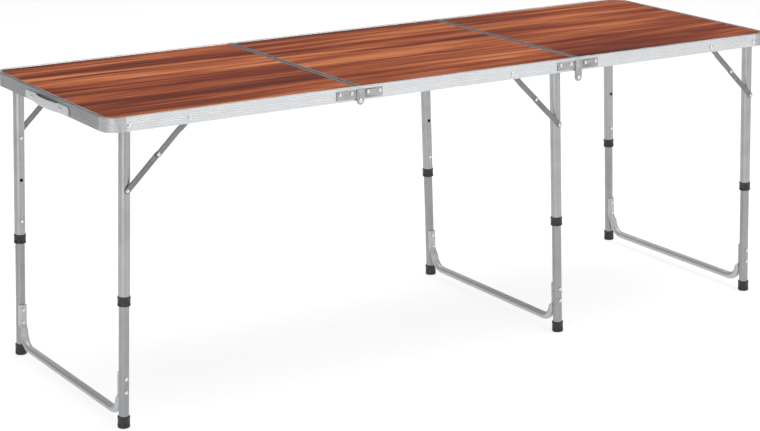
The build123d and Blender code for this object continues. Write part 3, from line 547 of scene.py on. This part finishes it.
def finished(name, bm, material, sharp_angle=35.0):
    """Turn a bmesh into a smooth-shaded object with one material, its faces outwards."""
    bmesh.ops.recalc_face_normals(bm, faces=bm.faces)
    mesh = bpy.data.meshes.new(name)
    bm.to_mesh(mesh)
    bm.free()
    mesh.materials.append(material)
    mesh.shade_smooth()
    mesh.set_sharp_from_angle(angle=math.radians(sharp_angle))
    piece = bpy.data.objects.new(name, mesh)
    bpy.context.scene.collection.objects.link(piece)
    return piece


bm = bmesh.new()
for side in (-1, 1):
    rings = []
    for depth, shrink in PAD_EDGE:
        outline = rounded_outline(PAD_LENGTH - 2 * shrink, HANDLE_HEIGHT - 2 * shrink, PAD_CORNER)
        x = PAD_BACK - PAD_THICKNESS * depth
        rings.append([(x, side * PAD_MIDDLE + u, HANDLE_LEVEL + v) for u, v in outline])
    loft(bm, rings)
strap_rings = []
for step in range(STRAP_STEPS + 1):
    y = -STRAP_HALF + 2 * STRAP_HALF * step / STRAP_STEPS
    bow = STRAP_BOW * (1 - (y / STRAP_HALF) ** 2) ** 0.8
    x = PAD_BACK - STRAP_STANDOFF - bow
    section = rounded_outline(STRAP_THICKNESS, STRAP_HEIGHT, STRAP_ROUND, 3)
    strap_rings.append([(x - STRAP_THICKNESS / 2 + u, y, HANDLE_LEVEL + v) for u, v in section])
loft(bm, strap_rings)
handle = finished("carrying_handle", bm, handle_silver)
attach(handle, "left_panel")
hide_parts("handle")

# The leaf hinges: plates pressed from zinc-plated steel and riveted to the side rails over each seam,
# with a joggled tongue that covers an arm. Their sheared edges are lightly broken.
zinc = metal_finish(
    "zinc plate", (0.43, 0.43, 0.44, 1), (0.28, 0.28, 0.29, 1), (60.0, 260.0, 260.0), 0.34, stain_amount=0.35
)


def edges_broken(name, source, material, width, body):
    """A copy of a CAD node, merged, with its sharp outside edges bevelled, in that node's place."""
    bm = bmesh.new()
    bm.from_mesh(nodes[source].data)
    bmesh.ops.remove_doubles(bm, verts=bm.verts, dist=1e-6)
    bmesh.ops.dissolve_limit(bm, angle_limit=math.radians(0.5), verts=bm.verts, edges=bm.edges)
    bmesh.ops.recalc_face_normals(bm, faces=bm.faces)
    sharp = math.radians(40)
    outer = [edge for edge in bm.edges if edge.is_convex and edge.calc_face_angle(0.0) > sharp]
    bmesh.ops.bevel(
        bm, geom=outer, offset=width, segments=2, profile=0.5, affect="EDGES", clamp_overlap=True
    )
    piece = finished(name, bm, material, 50.0)
    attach(piece, body)
    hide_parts(source)
    return piece


HINGE_BODIES = {
    "left_hinge_arm_plates": "left_panel",
    "left_hinge_tongue_plates": "centre_panel",
    "right_hinge_arm_plates": "centre_panel",
    "right_hinge_tongue_plates": "right_panel",
}
PLATE_EDGE = 0.00035
for node, body in HINGE_BODIES.items():
    edges_broken(node.replace("hinge", "leaf"), node, zinc, PLATE_EDGE, body)

# The leg tubes: satin aluminium, the lower tube sliding in the upper one, with a drilled row for the
# snap button. An open frame leans away from its braces.
LEG_LEAN = math.radians(2.2)
PIVOT_LEVEL = HEIGHT - 0.019
LEG_INSET = 0.024
LEG_Y = HALF - LEG_INSET
FRAMES = {
    "left": (LEFT_END + 0.049, 1),
    "middle": (RIGHT_SEAM - 0.049, -1),
    "right": (RIGHT_END - 0.049, -1),
}
UPRIGHT = (700.0, 700.0, 10.0)
tube_metal = metal_finish(
    "satin tube aluminium", (0.41, 0.415, 0.42, 1), (0.29, 0.295, 0.30, 1), UPRIGHT, 0.26, stain_amount=0.3
)
lower_colour = (0.34, 0.345, 0.35, 1)
lower_stain = (0.24, 0.245, 0.25, 1)
lower_metal = metal_finish(
    "satin lower tube aluminium", lower_colour, lower_stain, UPRIGHT, 0.24, stain_amount=0.3
)
for frame_name in FRAMES:
    for node, finish in (("upper_tubes", tube_metal), ("lower_tubes", lower_metal)):
        tube = nodes[f"{frame_name}_leg_{node}"]
        tube.data.materials.clear()
        tube.data.materials.append(finish)


def along_leg(frame_name):
    """Carries a point given by its height along an upright leg to that frame's leaning leg."""
    leg_x, fold = FRAMES[frame_name]
    leaning = Matrix.Translation((leg_x, 0, PIVOT_LEVEL)) @ Matrix.Rotation(fold * LEG_LEAN, 4, "Y")
    return leaning @ Matrix.Translation((0, 0, -PIVOT_LEVEL))


# Black moulded parts: a ribbed collar at the foot of each upper tube, and a ribbed cap on each lower
# tube, flat where it stands on the floor.
COLLAR_PROFILE = (
    (0.01135, 0.2690), (0.0133, 0.2685), (0.0140, 0.2692), (0.0140, 0.2722), (0.01365, 0.2728),
    (0.01365, 0.2850), (0.0140, 0.2856), (0.0140, 0.2888), (0.0134, 0.2895), (0.0126, 0.2895),
    (0.0126, 0.2726), (0.01135, 0.2726),
)
FOOT_PROFILE = (
    (0.0, -0.0008), (0.0115, -0.0008), (0.0128, 0.0002), (0.0135, 0.0018), (0.0135, 0.0052),
    (0.0132, 0.0057), (0.0131, 0.0205), (0.0135, 0.0212), (0.0135, 0.0243), (0.0129, 0.0250),
    (0.0111, 0.0250), (0.01105, 0.0050), (0.0, 0.0050),
)
TURNED_STEPS = 48
moulded = bpy.data.node_groups.new("moulded plastic", "ShaderNodeTree")
add_socket(moulded, "Colour", "NodeSocketColor", default=(0.012, 0.012, 0.013, 1))
add_socket(moulded, "Scuff", "NodeSocketColor", default=(0.045, 0.045, 0.048, 1))
add_socket(moulded, "Colour", "NodeSocketColor", out=True)
add_socket(moulded, "Roughness", "NodeSocketFloat", out=True)
add_socket(moulded, "Height", "NodeSocketFloat", out=True)
given = put(moulded, "NodeGroupInput")
place = put(moulded, "ShaderNodeTexCoord").outputs["Object"]
texture = put(moulded, "ShaderNodeTexNoise", {"Vector": place, "Scale": 1400.0, "Detail": 3.0}).outputs[0]
scuffs = put(moulded, "ShaderNodeTexNoise", {"Vector": place, "Scale": 60.0, "Detail": 6.0}).outputs[0]
scuff_values = {"Value": scuffs, "From Min": 0.5, "From Max": 0.75}
scuff_mask = put(moulded, "ShaderNodeMapRange", scuff_values).outputs[0]
rubbed = blend_colour(moulded, scuff_mask, given.outputs["Colour"], given.outputs["Scuff"])
dull = maths(moulded, "ADD", maths(moulded, "MULTIPLY", scuff_mask, 0.15), 0.42)
put(moulded, "NodeGroupOutput", {"Colour": rubbed, "Roughness": dull, "Height": texture})
black, tree, shader = new_material("black moulded plastic")
pressed = put(tree, "ShaderNodeGroup", node_tree=moulded)
finish_from(tree, shader, pressed, 0.2, 0.0001)


def turned(bm, profile, closed, stand):
    """Turn a profile of (radius, height) about an upright axis and carry it to its place."""
    rows = []
    for radius, height in profile:
        if radius == 0.0:
            rows.append([bm.verts.new(stand @ Vector((0, 0, height)))])
            continue
        ring = []
        for step in range(TURNED_STEPS):
            angle = 2 * math.pi * step / TURNED_STEPS
            spot = Vector((radius * math.cos(angle), radius * math.sin(angle), height))
            ring.append(bm.verts.new(stand @ spot))
        rows.append(ring)
    pairs = list(zip(rows, rows[1:])) + ([(rows[-1], rows[0])] if closed else [])
    for near, far in pairs:
        for i in range(TURNED_STEPS):
            j = (i + 1) % TURNED_STEPS
            if len(near) == 1:
                bm.faces.new((near[0], far[j], far[i]))
            elif len(far) == 1:
                bm.faces.new((near[i], near[j], far[0]))
            else:
                bm.faces.new((near[i], near[j], far[j], far[i]))


for frame_name in FRAMES:
    for piece_name, profile, closed, body in (
        ("collars", COLLAR_PROFILE, True, "leg_upper"),
        ("feet", FOOT_PROFILE, False, "leg_lower"),
    ):
        bm = bmesh.new()
        for side in (-1, 1):
            stand = along_leg(frame_name) @ Matrix.Translation((0, side * LEG_Y, 0))
            turned(bm, profile, closed, stand)
        for vert in bm.verts:
            vert.co.z = max(vert.co.z, 0.0)
        piece = finished(f"{frame_name}_{piece_name}", bm, black)
        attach(piece, f"{frame_name}_{body}")
        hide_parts(f"{frame_name}_leg_{piece_name}")

# The cross-bars: one tube bent up at both ends, where it is flattened into a curved saddle that
# hugs the inside of the lower leg and takes two rivets.
BAR_RADIUS = 0.009
BAR_LEVEL = 0.025
BAR_BEND = 0.036
BEND_TOP = BAR_LEVEL + BAR_BEND
SADDLE_IN = 0.0113
SADDLE_OUT = 0.0145
SADDLE_START = 0.074
SADDLE_TOP = 0.1215
SADDLE_SPREAD = math.radians(48)
BAR_ARM_Y = LEG_Y - SADDLE_IN - BAR_RADIUS
RING_POINTS = 32
ARM_STEPS = 10
BEND_STEPS = 14
FLATTEN_LEAD = 0.004
bar_metal = metal_finish(
    "satin bar aluminium", (0.58, 0.59, 0.60, 1), (0.46, 0.47, 0.48, 1), ACROSS_TABLE, 0.50
)


def bar_ring(centre, heading, flatness, side):
    """One ring of the cross-bar: round along the floor, a thin curved shell at the saddle."""
    ring = []
    for step in range(RING_POINTS):
        angle = 2 * math.pi * step / RING_POINTS
        across = math.cos(angle) * BAR_RADIUS
        out = math.sin(angle) * BAR_RADIUS
        round_spot = Vector(centre) + Vector((across, 0, 0)) + heading * out
        inner = math.sin(angle) > 0
        spread = SADDLE_SPREAD * math.cos(angle)
        radius = SADDLE_IN if inner else SADDLE_OUT
        shell = Vector((math.sin(spread) * radius, side * (LEG_Y - math.cos(spread) * radius), centre[2]))
        ring.append(round_spot.lerp(shell, flatness))
    return ring


for frame_name in FRAMES:
    rings = []
    for side in (-1, 1):
        arm = []
        for step in range(ARM_STEPS + 1):
            level = BEND_TOP + (SADDLE_TOP - BEND_TOP) * (1 - step / ARM_STEPS)
            start = BEND_TOP - FLATTEN_LEAD
            flat = min(max((level - start) / (SADDLE_START - start), 0.0), 1.0)
            flat = flat * flat * (3 - 2 * flat)
            arm.append(bar_ring((0, side * BAR_ARM_Y, level), Vector((0, side, 0)), flat, side))
        for step in range(1, BEND_STEPS + 1):
            angle = math.radians(90 * step / BEND_STEPS)
            y = BAR_ARM_Y - BAR_BEND + BAR_BEND * math.cos(angle)
            z = BEND_TOP - BAR_BEND * math.sin(angle)
            heading = Vector((0, side * math.cos(angle), -math.sin(angle)))
            arm.append(bar_ring((0, side * y, z), heading, 0.0, side))
        rings += arm if side < 0 else list(reversed(arm))
    bm = bmesh.new()
    loft(bm, [[along_leg(frame_name) @ spot for spot in ring] for ring in rings])
    crossbar = finished(f"{frame_name}_floor_bar", bm, bar_metal, 50.0)
    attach(crossbar, f"{frame_name}_leg_lower")
    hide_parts(f"{frame_name}_leg_crossbar")

# The folding braces: two flat zinc-plated links a side, joined in the middle, the upper one joggled
# so that the lower one passes inside it.
LINK_EDGE = 0.0004
brace_zinc = metal_finish(
    "zinc link", (0.25, 0.25, 0.26, 1), (0.15, 0.15, 0.16, 1), (150.0, 400.0, 150.0), 0.36, stain_amount=0.35
)
for frame_name in FRAMES:
    for half in ("upper", "lower"):
        body = f"{frame_name}_brace_{half}"
        edges_broken(
            f"{frame_name}_{half}_braces", f"{body}_links", brace_zinc, LINK_EDGE, body
        )

# Rivets and snap clips: most rivets get a bright domed head over their flat one. The lower rivets
# of the braces and the spring clips with their buttons are copies with rounded edges.
ARM = 0.138
BIG_HEAD = 0.005
SMALL_HEAD = 0.004
FLAT_HEAD = 0.00155
DOME_HEIGHT = 0.0011
DOME_FOOT = -0.12
HEAD_EDGE = 0.001
SPRING_EDGE = 0.0002
rivet_metal = metal_finish(
    "bright rivet metal", (0.74, 0.74, 0.75, 1), (0.5, 0.5, 0.51, 1), (300.0, 300.0, 300.0), 0.18
)
spring_metal = metal_finish(
    "spring steel", (0.80, 0.80, 0.81, 1), (0.6, 0.6, 0.62, 1), UPRIGHT, 0.18
)

domes = bpy.data.node_groups.new("domed rivets", "GeometryNodeTree")
add_socket(domes, "Geometry", "NodeSocketGeometry")
add_socket(domes, "Dome height", "NodeSocketFloat", default=DOME_HEIGHT)
add_socket(domes, "Material", "NodeSocketMaterial")
add_socket(domes, "Geometry", "NodeSocketGeometry", out=True)
given = put(domes, "NodeGroupInput")
ball = put(domes, "GeometryNodeMeshUVSphere", {"Segments": 20, "Rings": 12, "Radius": 1.0})
spot = put(domes, "ShaderNodeSeparateXYZ", {0: put(domes, "GeometryNodeInputPosition").outputs[0]})
cut_level = maths(domes, "MAXIMUM", spot.outputs["Z"], DOME_FOOT)
kept_spot = {"X": spot.outputs["X"], "Y": spot.outputs["Y"], "Z": cut_level}
raised = put(domes, "ShaderNodeCombineXYZ", kept_spot).outputs[0]
half_ball = put(domes, "GeometryNodeSetPosition", {"Geometry": ball.outputs[0], "Position": raised})
facing = put(domes, "GeometryNodeInputNamedAttribute", {"Name": "facing"}, data_type="FLOAT_VECTOR")
head = put(domes, "GeometryNodeInputNamedAttribute", {"Name": "head"}, data_type="FLOAT")
turned_to = put(domes, "FunctionNodeAlignRotationToVector", {"Vector": facing.outputs[0]}, axis="Z")
size = put(
    domes,
    "ShaderNodeCombineXYZ",
    {"X": head.outputs[0], "Y": head.outputs[0], "Z": given.outputs["Dome height"]},
)
placed_values = {"Points": given.outputs["Geometry"], "Instance": half_ball.outputs[0]}
placed_values.update({"Rotation": turned_to.outputs[0], "Scale": size.outputs[0]})
placed = put(domes, "GeometryNodeInstanceOnPoints", placed_values)
real = put(domes, "GeometryNodeRealizeInstances", {"Geometry": placed.outputs[0]})
coat = {"Geometry": real.outputs[0], "Material": given.outputs["Material"]}
dressed = put(domes, "GeometryNodeSetMaterial", coat)
put(domes, "NodeGroupOutput", {"Geometry": dressed.outputs[0]})


def rivet_heads(name, heads, body):
    """Domes on a list of (place of the flat head's outer face, direction it faces, head radius)."""
    mesh = bpy.data.meshes.new(name)
    mesh.from_pydata([spot for spot, _, _ in heads], [], [])
    mesh.attributes.new("facing", "FLOAT_VECTOR", "POINT")
    mesh.attributes.new("head", "FLOAT", "POINT")
    for index, (_, way, radius) in enumerate(heads):
        mesh.attributes["facing"].data[index].vector = way
        mesh.attributes["head"].data[index].value = radius
    piece = grown(name, mesh, domes, {"Dome height": DOME_HEIGHT, "Material": rivet_metal})
    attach(piece, body)


def both_sides(x, inset, z, radius, inward=False):
    """The same head on the front and the back; inset is its flat face's depth inside the rail face."""
    found = []
    for side in (-1, 1):
        way = Vector((0, -side if inward else side, 0))
        found.append((Vector((x, side * (HALF - inset), z)), way, radius))
    return found


LEG_RADIUS = 0.0125
PIVOT_CLEARANCE = 0.0003
PLATE_FACE = -0.0022 - FLAT_HEAD
TONGUE_FACE = -0.0045 - FLAT_HEAD
LINK_FACE = 0.0052 - FLAT_HEAD
LEG_INNER_FACE = LEG_INSET + LEG_RADIUS + PIVOT_CLEARANCE + FLAT_HEAD
RIVET_ROW = HEIGHT - 0.013
PLATE_RIVETS = (0.021, 0.051)
HANDLE_RIVET_Y = 0.075
HANDLE_RIVET_FACE = LEFT_END - 0.0034 - FLAT_HEAD
BAR_RIVET_LEVELS = (0.080, 0.1095)
panel_heads = {"left": [], "centre": [], "right": []}
for seam, near, far in ((LEFT_SEAM, "left", "centre"), (RIGHT_SEAM, "centre", "right")):
    for offset in PLATE_RIVETS:
        panel_heads[near] += both_sides(seam - offset, PLATE_FACE, RIVET_ROW, SMALL_HEAD)
        panel_heads[far] += both_sides(seam + offset, PLATE_FACE, RIVET_ROW, SMALL_HEAD)
panel_heads["centre"] += both_sides(LEFT_SEAM, TONGUE_FACE, HEIGHT - RAIL_HEIGHT, BIG_HEAD)
panel_heads["right"] += both_sides(RIGHT_SEAM, TONGUE_FACE, HEIGHT - 1.5 * RAIL_HEIGHT, BIG_HEAD)
for side in (-1, 1):
    pad_face = Vector((HANDLE_RIVET_FACE, side * HANDLE_RIVET_Y, HANDLE_LEVEL))
    panel_heads["left"].append((pad_face, Vector((-1, 0, 0)), SMALL_HEAD))
for frame_name, panel in (("left", "left"), ("middle", "centre"), ("right", "right")):
    leg_x, fold = FRAMES[frame_name]
    rail_pin = Vector((leg_x + fold * ARM, 0, PIVOT_LEVEL))
    leg_pin = along_leg(frame_name) @ Vector((0, 0, PIVOT_LEVEL - ARM))
    middle_pin = (rail_pin + leg_pin) / 2
    if frame_name != "middle":
        panel_heads[panel] += both_sides(leg_x, -FLAT_HEAD, PIVOT_LEVEL, BIG_HEAD)
    panel_heads[panel] += both_sides(leg_x, LEG_INNER_FACE, PIVOT_LEVEL, BIG_HEAD, inward=True)
    panel_heads[panel] += both_sides(rail_pin.x, -FLAT_HEAD, PIVOT_LEVEL, BIG_HEAD)
    upper_heads = both_sides(middle_pin.x, LINK_FACE, middle_pin.z, SMALL_HEAD)
    rivet_heads(f"{frame_name}_upper_brace_heads", upper_heads, f"{frame_name}_brace_upper")
    body = f"{frame_name}_brace_lower"
    edges_broken(f"{frame_name}_low_heads", f"{body}_rivets", rivet_metal, HEAD_EDGE, body)
    bar_heads = []
    for level in BAR_RIVET_LEVELS:
        pin = along_leg(frame_name) @ Vector((0, 0, level))
        saddle_face = LEG_INSET + SADDLE_OUT + FLAT_HEAD
        tube_face = LEG_INSET - SADDLE_IN - FLAT_HEAD
        bar_heads += both_sides(pin.x, saddle_face, pin.z, SMALL_HEAD, inward=True)
        bar_heads += both_sides(pin.x, tube_face, pin.z, SMALL_HEAD)
    rivet_heads(f"{frame_name}_bar_heads", bar_heads, f"{frame_name}_leg_lower")
for panel, heads in panel_heads.items():
    rivet_heads(f"{panel}_panel_heads", heads, f"{panel}_panel")
for frame_name in FRAMES:
    for side_name, side in (("front", -1), ("back", 1)):
        source = f"{frame_name}_leg_{side_name}_clip"
        spring = edges_broken(f"{source}_spring", source, spring_metal, SPRING_EDGE, source)
        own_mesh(spring)
for name, node in nodes.items():
    if name.endswith(("rivets", "_pins")):
        node.data.materials.clear()
        node.data.materials.append(rivet_metal)
